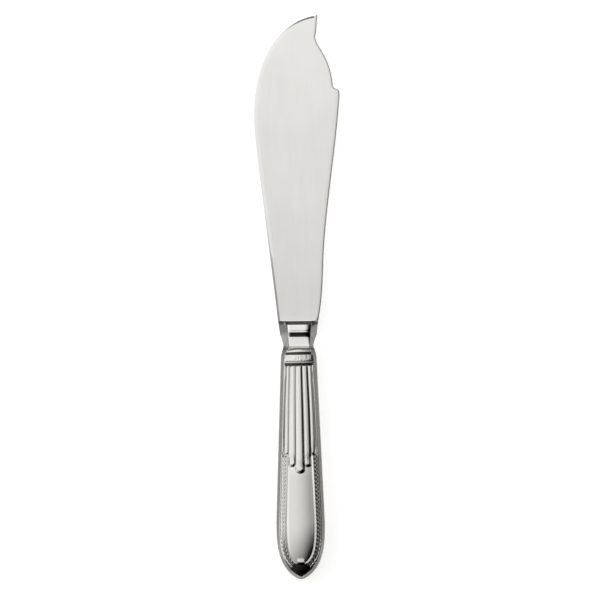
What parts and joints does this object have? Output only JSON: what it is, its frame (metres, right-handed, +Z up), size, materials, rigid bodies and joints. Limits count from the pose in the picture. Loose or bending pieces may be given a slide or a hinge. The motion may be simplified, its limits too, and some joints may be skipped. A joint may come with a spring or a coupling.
{
  "type": "cake knife",
  "caption": "Broad curved cake knife with a notched back and a fine tip, forged steel blade and bolster, and a hollow silver handle with reeds and leaf borders.",
  "frame": {"origin": "centre of the knife's bounding box in X and Y, on the table it lies on", "axes": "+Y along the knife from the butt to the tip, +X toward the blade's back, +Z up from the table, through the front of the handle"},
  "size_m": [0.0422, 0.2752, 0.0132],
  "materials": {
    "blade_steel": "satin",
    "handle_silver": "polished",
    "cement": "matte"
  },
  "bodies": {
    "root": {"blade": "blade_steel", "handle_front_shell": "handle_silver", "handle_back_shell": "handle_silver", "tang_cement": "cement"}
  },
  "joints": []
}
